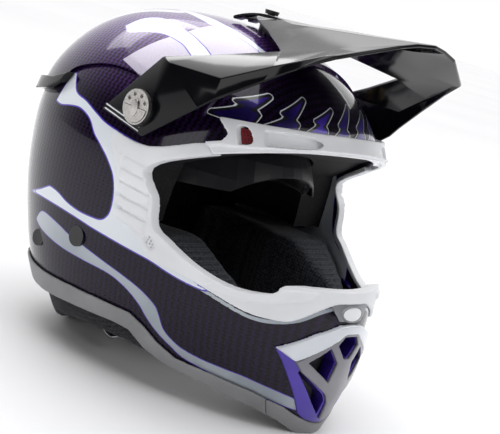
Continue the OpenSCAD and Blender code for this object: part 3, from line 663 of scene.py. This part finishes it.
# The left half of the visor's outer face: corners as (x, f, z).
ARM_LOW_BACK, ARM_LOW_FRONT = (123.2, 12, 186), (123.4, 57, 178.5)
EDGE = [(119.5, 97, 211), (115, 106, 220), (102, 129, 239), (92, 150, 257), (81, 167, 270)]
RAIL = [(114.6, 49, 235), (98.5, 77, 245.5), (75, 116, 261), (58, 146, 272.5), (36, 182, 287)]
CREASE = [(120, 62, 233), (113, 104, 234), (98.5, 133, 252), (81, 161, 269)]
RIDGE = [(0, 62, 280.6), (0, 80, 281.8), (0, 104, 284.6), (0, 150, 289.2), (0, 186, 293)]
DECK = [(14, 62, 279.4), (26, 80, 279), (31, 104, 281.5), (31, 150, 286.6), (18, 183.5, 291)]
SKIRT = [(8, 12, 272.0), (14, 37, 277.6), (18, 40, 274.5), (38, 70, 269.8), (58, 96, 265)]
VISOR_FACES = [
    ("a0", "a1", "c0", "r0"), ("a1", "e0", "c0"), ("e0", "e1", "c1", "c0"), ("e1", "e2", "c2", "c1"),
    ("e2", "e3", "c3", "c2"), ("e3", "e4", "c3"), ("r0", "c0", "c1", "r1"), ("r1", "c1", "c2", "r2"),
    ("r2", "c2", "c3", "r3"), ("r3", "c3", "e4", "r4"), ("m0", "m1", "d1", "d0"), ("m1", "m2", "d2", "d1"),
    ("m2", "m3", "d3", "d2"), ("m3", "m4", "d4", "d3"), ("s0", "s1", "s2"), ("s1", "d0", "s2"), ("d0", "s3", "s2"),
    ("d0", "d1", "s3"), ("d1", "d2", "s4", "s3"), ("d2", "r2", "s4"), ("d2", "d3", "r3", "r2"),
    ("d3", "d4", "r4", "r3")]


def make_visor(gloss, decal):
    corners = {"a0": ARM_LOW_BACK, "a1": ARM_LOW_FRONT}
    for key, line in (("e", EDGE), ("r", RAIL), ("c", CREASE), ("m", RIDGE), ("d", DECK), ("s", SKIRT)):
        corners.update({f"{key}{i}": p for i, p in enumerate(line)})
    names = list(corners)
    points = [corners[n] for n in names] + [(-x, f, z) for x, f, z in corners.values()]
    faces = [[names.index(n) for n in face] for face in VISOR_FACES]
    faces += [[i + len(names) for i in reversed(face)] for face in faces]
    # The tab runs back from the ridge over the centre screw, on the pivot's radius.
    start = len(points)
    angles = np.radians(np.linspace(-26, 9.5, 12))
    for a in angles:
        f, z = PIVOT_F + TAB_R * math.sin(a), PIVOT_Z + TAB_R * math.cos(a)
        points += [(-14, f, z), (-3.6, f, z), (3.6, f, z), (14, f, z)]
    for i in range(len(angles) - 1):
        a, b = start + 4 * i, start + 4 * i + 4
        past_slot = angles[i + 1] > math.radians(-5.2)
        for k in (0, 1, 2) if past_slot else (0, 2):
            faces.append([a + k, a + k + 1, b + k + 1, b + k])
    obj = new_object("visor_peak", points, faces)
    bm = bmesh.new()
    bm.from_mesh(obj.data)
    bmesh.ops.remove_doubles(bm, verts=bm.verts, dist=0.4 * MM)
    bmesh.ops.recalc_face_normals(bm, faces=bm.faces)
    middle = Vector((0, (MID_F - 90) * MM, 200 * MM))
    for face in bm.faces:
        if face.normal.dot(face.calc_center_median() - middle) < 0:
            face.normal_flip()
    bm.to_mesh(obj.data)
    bm.free()
    thick = obj.modifiers.new("wall", "SOLIDIFY")
    thick.thickness, thick.offset, thick.use_even_offset = VISOR_T * MM, -1, True
    bevel = obj.modifiers.new("edges", "BEVEL")
    bevel.width, bevel.segments, bevel.limit_method, bevel.angle_limit = 0.9 * MM, 3, "ANGLE", math.radians(9)
    bake(obj)
    smooth(obj, 40)
    finish_piece(obj, "visor_peak", "visor", gloss, ("visor",))
    for sign, name in ((-1, "right"), (1, "left")):
        boss = rod(13.6, 118 * sign, 124.6 * sign, PIVOT_F, PIVOT_Z)
        finish_piece(smooth(boss, 30), "visor_boss_" + name, "visor", gloss, ())
        stripes = []
        for off in (0.0, 3.0):
            stripes.append(side_cut([(15.5, 187.6 + off), (52.5, 181.4 + off), (52.9, 180.6 + off),
                                     (15.1, 186.8 + off)], 119 * sign, (123.6 - off * 0.13) * sign))
        line = plus(*stripes)
        finish_piece(smooth(line, 30), "visor_line_" + name, "visor", decal, ())


def make_screw_hubs(metal):
    """The raised oval on each side screw."""
    turn = np.arange(40) * (2 * math.pi / 40)
    for sign, name in ((-1, "right"), (1, "left")):
        oval = [(PIVOT_F + 3.1 * math.cos(t), PIVOT_Z - 0.6 + 6.4 * math.sin(t)) for t in turn]
        hub = side_cut(oval, 127.0 * sign, 129.6 * sign)
        mod = hub.modifiers.new("edge", "BEVEL")
        mod.width, mod.segments, mod.limit_method = 0.6 * MM, 3, "ANGLE"
        bake(hub)
        finish_piece(smooth(hub, 40), "screw_hub_" + name, "screw_" + name, metal, ())


# ---- Straps --------------------------------------------------------------------------------------------------

STRAP_F, STRAP_W, STRAP_T = 19.0, 22.0, 2.0
HIDDEN_RUN = [(113.9, 97), (113.9, 86), (112, 75), (108.6, 60), (105.5, 51), (101, 47), (94, 46.3), (72, 46)]
LONG_RUN = [(62, 43.5), (57, 37), (52, 28), (44.5, 18), (33, 10), (18, 5), (0, 3.2), (-22, 3)]
SHORT_RUN = [(62, 43.5), (57.5, 38), (56, 32), (56, 27)]


def ribbon(name, run, width, thick):
    """Woven tape swept along a run of (x, z) points, with a soft selvedge."""
    pts = np.array(run, float)
    fine = []
    for i in range(len(pts) - 1):
        a, b, c, d = pts[max(i - 1, 0)], pts[i], pts[i + 1], pts[min(i + 2, len(pts) - 1)]
        for t in np.arange(6) / 6:
            fine.append(0.5 * (2 * b + (c - a) * t + (2 * a - 5 * b + 4 * c - d) * t * t
                               + (3 * b - a - 3 * c + d) * t ** 3))
    fine = np.array(fine + [pts[-1]])
    along = np.gradient(fine, axis=0)
    along /= np.linalg.norm(along, axis=1)[:, None]
    across = np.stack([-along[:, 1], along[:, 0]], 1)
    half, edge_r = width / 2, thick / 2
    section = [(half - edge_r + edge_r * math.cos(t), edge_r * math.sin(t))
               for t in np.linspace(-math.pi / 2, math.pi / 2, 7)]
    section += [(-u, -v) for u, v in section]
    verts, n = [], len(section)
    for p, nrm in zip(fine, across):
        verts += [(p[0] + nrm[0] * v, STRAP_F + u, p[1] + nrm[1] * v) for u, v in section]
    faces = [(i * n + j, i * n + (j + 1) % n, (i + 1) * n + (j + 1) % n, (i + 1) * n + j)
             for i in range(len(fine) - 1) for j in range(n)]
    faces += [tuple(range(n)), tuple(range(len(verts) - 1, len(verts) - n - 1, -1))]
    return smooth(new_object(name, verts, faces), 50)


def make_straps(tape, pad):
    left = ribbon("strap", HIDDEN_RUN + LONG_RUN, STRAP_W, STRAP_T)
    finish_piece(left, "strap_long", "helmet", tape, ("chin_strap_left",))
    right = ribbon("strap", [(-x, z) for x, z in HIDDEN_RUN + SHORT_RUN], STRAP_W, STRAP_T)
    finish_piece(right, "strap_short", "helmet", tape, ("chin_strap_right",))
    turn = np.linspace(0, 2 * math.pi, 33)
    loop = ribbon("strap", [(-56 + 4.75 * math.cos(t), 22 + 4.75 * math.sin(t)) for t in turn], STRAP_W - 3, 1.4)
    finish_piece(loop, "strap_loop", "helmet", tape, ())
    sleeve = ribbon("sleeve", LONG_RUN[1:5], STRAP_W + 6, 6.0)
    finish_piece(sleeve, "strap_pad", "helmet", pad, ("strap_sleeve",))


# ---- Padding -------------------------------------------------------------------------------------------------

def padded_from(node_name, name, body, material, seams, cap=2.2):
    """A pad puffed up from the CAD part by air pressure, by cap at most, and held along its stitched seams."""
    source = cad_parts[node_name]
    obj = bpy.data.objects.new(name, source.data.copy())
    bpy.context.scene.collection.objects.link(obj)
    grid = obj.modifiers.new("grid", "REMESH")
    grid.mode, grid.voxel_size = "VOXEL", PAD_CELL * MM
    ease = obj.modifiers.new("ease", "SMOOTH")
    ease.iterations = 2
    bake(obj)
    count = len(obj.data.vertices)
    rest = np.empty(count * 3)
    obj.data.vertices.foreach_get("co", rest)
    rest = rest.reshape(-1, 3)
    held = obj.vertex_groups.new(name="seam")
    held.add([int(i) for i in np.nonzero(seams(rest / MM))[0]], 1.0, "REPLACE")
    cloth = obj.modifiers.new("cloth", "CLOTH")
    cloth.settings.use_pressure = True
    cloth.settings.uniform_pressure_force = 4.0
    cloth.settings.tension_stiffness = cloth.settings.compression_stiffness = 25
    cloth.settings.bending_stiffness = 2.0
    cloth.settings.effector_weights.gravity = 0
    cloth.settings.vertex_group_mass = "seam"
    cloth.settings.pin_stiffness = 1.0
    cloth.point_cache.frame_start, cloth.point_cache.frame_end = 1, PAD_FRAMES
    for step in range(1, PAD_FRAMES + 1):
        bpy.context.scene.frame_set(step)
    view = bpy.context.evaluated_depsgraph_get()
    moved = np.empty(count * 3)
    obj.evaluated_get(view).data.vertices.foreach_get("co", moved)
    shift = moved.reshape(-1, 3) - rest
    length = np.linalg.norm(shift, axis=1, keepdims=True)
    shift *= np.minimum(1, cap * MM / np.maximum(length, 1e-9))
    obj.modifiers.clear()
    obj.data.vertices.foreach_set("co", (rest + shift).ravel())
    obj.data.update()
    bpy.context.scene.frame_set(1)
    fine = obj.modifiers.new("fine", "SUBSURF")
    fine.levels = fine.render_levels = 1
    bake(obj)
    finish_piece(smooth(obj), name, body, material, (node_name,))
    return obj


def cheek_seams(at):
    f = MID_F - at[:, 1]
    near = np.abs(at[:, 2] - (78 + 0.12 * (f - 50))) < 2.6
    return near | (np.abs(f - 34) < 2.6) | (np.abs(f - 92) < 2.6)


def roll_seams(at):
    return (np.abs(at[:, 2] - 44) < 2.5) | (np.abs(at[:, 0]) < 2.5)


def crown_seams(at):
    turn = np.degrees(np.arctan2(at[:, 0], at[:, 1] - (MID_F - 10)))
    return np.abs((turn % 60) - 30) < 4


def make_padding(cheek, roll, lining):
    padded_from("cheek_pad_left", "cheek_cushion_left", "cheek_left", cheek, cheek_seams)
    padded_from("cheek_pad_right", "cheek_cushion_right", "cheek_right", cheek, cheek_seams)
    padded_from("neck_roll", "neck_cushion", "helmet", roll, roll_seams)
    padded_from("comfort_liner", "crown_cushion", "slip", lining, crown_seams, 1.2)


# ---- The rest of the CAD parts, dressed ----------------------------------------------------------------------

def dress(material, names, width=0.0, angle=32):
    """Gives CAD parts their finish, and rounds their machined edges where a width is given."""
    for name in names:
        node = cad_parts[name]
        node.data.materials.clear()
        node.data.materials.append(material)
        if width:
            mod = node.modifiers.new("edges", "BEVEL")
            mod.width, mod.segments, mod.limit_method = width * MM, 2, "ANGLE"
            mod.angle_limit = math.radians(40)
        smooth(node, angle)


# ---- Studio --------------------------------------------------------------------------------------------------

CAMERA_AT = Vector((-719.3, -600.1, 302.2)) * MM
LENS, SENSOR = 86.4, 36
AIM_RIGHT, AIM_UP, SHIFT_RIGHT = 0.0475, 0.04, 0.1
TURN, TILT = math.radians(46), math.radians(21)


def make_floor():
    r = 14.0
    floor = bpy.data.objects.new("floor", bpy.data.meshes.new("floor"))
    floor.data.from_pydata([(-r, -r, 0), (r, -r, 0), (r, r, 0), (-r, r, 0)], [], [(0, 1, 2, 3)])
    bpy.context.scene.collection.objects.link(floor)
    p = Paint("floor")
    tone = p.ramp(p.noise(1.5), [(0.3, (0.80, 0.80, 0.81)), (0.7, (0.84, 0.84, 0.85))])
    floor.data.materials.append(p.done(p.shader(Base_Color=tone, Roughness=0.75)))


def lamp_along(data, at, direction):
    lamp = bpy.data.objects.new(data.name, data)
    bpy.context.scene.collection.objects.link(lamp)
    lamp.location = at
    lamp.rotation_mode = "QUATERNION"
    lamp.rotation_quaternion = direction.to_track_quat("-Z", "Y")


def area_light(name, at, size, power):
    """A soft box turned to the middle of the helmet."""
    data = bpy.data.lights.new(name, "AREA")
    data.shape, data.size, data.size_y, data.energy = "RECTANGLE", size[0], size[1], power
    lamp_along(data, at, Vector((0, 0, 0.15)) - Vector(at))


def make_world():
    """Bright behind the helmet, as the photograph's angle sees it, and dark in front of it."""
    world = bpy.data.worlds.new("studio")
    world.use_nodes = True
    tree = world.node_tree
    coord, split, lean, bar = (tree.nodes.new("ShaderNode" + kind) for kind in (
        "TexCoord", "SeparateXYZ", "Math", "ValToRGB"))
    lean.operation = "ADD"
    for start, end in ((coord.outputs["Generated"], split.inputs[0]), (split.outputs[0], lean.inputs[0]),
                       (split.outputs[1], lean.inputs[1]), (lean.outputs[0], bar.inputs[0]),
                       (bar.outputs[0], tree.nodes["Background"].inputs[0])):
        tree.links.new(start, end)
    dark, bright = bar.color_ramp.elements
    dark.position, dark.color = 0.1, (0.05, 0.05, 0.055, 1)
    bright.position, bright.color = 0.9, (1.0, 1.0, 1.0, 1)
    bpy.context.scene.world = world


def make_lights():
    area_light("top_box", (-0.35, -0.15, 1.9), (1.5, 1.2), 7)
    area_light("key_box", (-1.9, -0.1, 1.1), (0.8, 1.2), 7)
    area_light("front_strip", (0.35, -2.1, 0.9), (0.5, 1.1), 5)
    area_light("rim_box", (0.4, 1.7, 1.5), (1.4, 0.4), 6)
    wash = bpy.data.lights.new("wash", "SUN")
    wash.energy, wash.angle = 2.6, math.radians(100)
    lamp_along(wash, (0, 0, 0), Vector((-0.25, -0.1, -1)))


def make_camera():
    across = Vector((math.cos(TURN), -math.sin(TURN) * math.cos(TILT), math.sin(TURN) * math.sin(TILT)))
    up = Vector((0, math.sin(TILT), math.cos(TILT)))
    back = across.cross(up)
    look = (-back + across * AIM_RIGHT + up * AIM_UP).normalized()
    side = look.cross(up).normalized()
    top = side.cross(look)
    camera = bpy.data.objects.new("camera", bpy.data.cameras.new("camera"))
    bpy.context.scene.collection.objects.link(camera)
    camera.data.lens, camera.data.sensor_width, camera.data.shift_x = LENS, SENSOR, SHIFT_RIGHT
    camera.location = CAMERA_AT
    camera.rotation_mode = "QUATERNION"
    camera.rotation_quaternion = Matrix((side, top, -look)).transposed().to_quaternion()
    bpy.context.scene.camera = camera
    bpy.context.scene.view_settings.view_transform = "Standard"


# ---- Everything ----------------------------------------------------------------------------------------------

gloss_black = plain("gloss_black", (0.002, 0.002, 0.003), (0.006, 0.006, 0.008), 0.10, depth=0.002,
                    Specular_IOR_Level=0.24)
satin_black = plain("satin_black", (0.004, 0.004, 0.005), (0.010, 0.010, 0.012), 0.30)
white_rubber = plain("white_rubber", (0.76, 0.77, 0.80), (0.86, 0.87, 0.89), 0.42, depth=0.03)
white_plastic = plain("white_plastic", (0.78, 0.79, 0.82), (0.87, 0.88, 0.90), 0.24, depth=0.01, Coat_Weight=0.4)
grey_rubber = plain("grey_rubber", (0.20, 0.20, 0.205), (0.30, 0.30, 0.305), 0.42)
violet_metal = plain("violet_metal", (0.026, 0.010, 0.20), (0.080, 0.036, 0.46), 0.30, Metallic=0.6, Coat_Weight=0.8,
                     Coat_Roughness=0.05)
frame_grey = plain("frame_grey", (0.16, 0.16, 0.18), (0.27, 0.27, 0.29), 0.34, Metallic=0.55, Coat_Weight=0.5)
band_pale = plain("band_pale", (0.62, 0.65, 0.70), (0.78, 0.81, 0.85), 0.28, Metallic=0.15, Coat_Weight=0.8)
badge_white = plain("badge_white", (0.82, 0.83, 0.85), (0.90, 0.91, 0.93), 0.25)
badge_grey = plain("badge_grey", (0.20, 0.21, 0.23), (0.34, 0.35, 0.37), 0.35, Metallic=0.5)
decal_white = plain("decal_white", (0.70, 0.71, 0.74), (0.80, 0.81, 0.84), 0.3)
screw_alloy = brushed("screw_alloy", (0.36, 0.35, 0.33), (0.62, 0.60, 0.57), 0.30)
steel = brushed("steel", (0.50, 0.50, 0.51), (0.72, 0.72, 0.73), 0.22)
brass = brushed("brass", (0.16, 0.11, 0.045), (0.26, 0.19, 0.08), 0.34)
red_web = plain("red_web", (0.42, 0.010, 0.014), (0.60, 0.022, 0.026), 0.6)
slip_dark = plain("slip_dark", (0.006, 0.006, 0.008), (0.014, 0.014, 0.017), 0.35)
anchor_red = plain("anchor_red", (0.45, 0.05, 0.03), (0.60, 0.08, 0.05), 0.5)
cheek_knit = knit("cheek_knit", (0.004, 0.004, 0.006), (0.075, 0.080, 0.095), 420.0)
roll_knit = knit("roll_knit", (0.005, 0.005, 0.007), (0.060, 0.060, 0.068), 620.0, 0.7)
crown_knit = knit("crown_knit", (0.003, 0.003, 0.004), (0.034, 0.034, 0.042), 380.0)
tape_black = webbing_paint("tape_black", (0.006, 0.006, 0.008), (0.035, 0.035, 0.040))
bead_foam = beads("bead_foam", (0.002, 0.002, 0.003), (0.010, 0.010, 0.012))
vent_grille = grille("vent_grille", (0.004, 0.001, 0.002), (0.22, 0.012, 0.020))
filter_mesh = grille("filter_mesh", (0.001, 0.001, 0.002), (0.012, 0.012, 0.015))

make_shell()
make_spoiler(gloss_black)
make_base(grey_rubber)
make_eyeport_trim(white_rubber)
make_brow(white_plastic)
make_mouthpiece(violet_metal, frame_grey, band_pale, filter_mesh)
make_badge(badge_grey, badge_white)
make_rear_vents(satin_black)
make_visor(gloss_black, decal_white)
make_screw_hubs(screw_alloy)
make_straps(tape_black, crown_knit)
make_padding(cheek_knit, roll_knit, crown_knit)
dress(satin_black, ["side_plugs", "rear_plugs", "cheek_plate_left", "cheek_plate_right", "cheek_sockets",
                    "visor_post", "center_washer"], 0.35)
dress(satin_black, ["center_screw"], 0.3)
dress(screw_alloy, ["visor_screw_left", "visor_screw_right", "screw_flap_left", "screw_flap_right"], 0.35)
dress(steel, ["strap_anchor_left", "strap_anchor_right", "d_ring_front", "d_ring_back"])
dress(brass, ["visor_insert_left", "visor_insert_right"], 0.3)
dress(red_web, ["release_tab_left", "release_tab_right", "strap_snap"], 0.4)
dress(bead_foam, ["impact_liner", "chin_liner"])
dress(slip_dark, ["slip_liner"])
dress(anchor_red, ["slip_anchors"])
dress(vent_grille, ["brow_vent_mesh"])
make_floor()
make_world()
make_lights()
make_camera()
